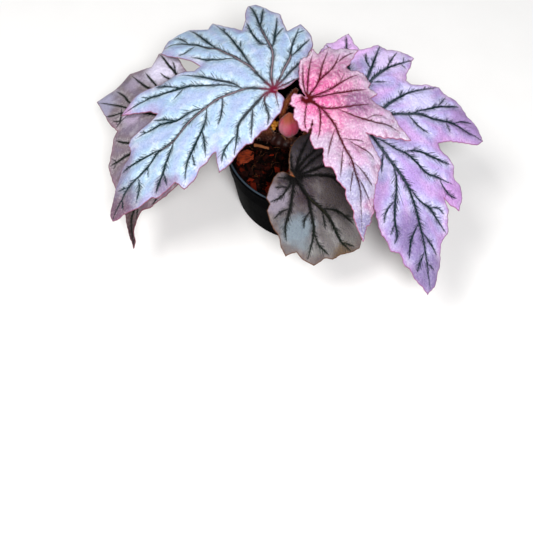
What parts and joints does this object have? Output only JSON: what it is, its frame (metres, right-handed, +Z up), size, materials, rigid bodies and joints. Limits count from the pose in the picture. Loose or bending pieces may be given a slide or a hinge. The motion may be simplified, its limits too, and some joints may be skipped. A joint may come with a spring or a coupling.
{
  "type": "potted rex begonia",
  "caption": "Rex begonia in a round black nursery pot: broad lobed silver, pink and mauve leaves with dark veins on curved stalks from a short rhizome.",
  "frame": {"origin": "middle of the pot's flat underside", "axes": "+Z up along the pot's axis, -Y towards the side that the plant shows to the front, +X to the plant's right in that view"},
  "size_m": [0.292, 0.2313, 0.1421],
  "materials": {
    "pot_plastic": "black, faint sheen",
    "potting_mix": "rough, crumbly",
    "stalk": "fleshy, hairy",
    "leaf_silver": "silvery sheen, dark veins",
    "leaf_pink": "silvery sheen, puckered",
    "leaf_mauve": "silvery sheen, dark veins",
    "leaf_shaded": "satin, dark veins",
    "bud": "satin, hairy",
    "feed": "waxy",
    "bark": "rough"
  },
  "bodies": {
    "root": {"pot": "pot_plastic", "soil": "potting_mix", "rhizome_and_stalks": "stalk", "blade_silver": "leaf_silver", "blade_young": "leaf_pink", "blade_mauve": "leaf_mauve", "blade_old": "leaf_shaded", "blade_low": "leaf_shaded", "bud": "bud", "feed_grains": "feed", "bark_chip": "bark", "twig": "bark"}
  },
  "joints": []
}
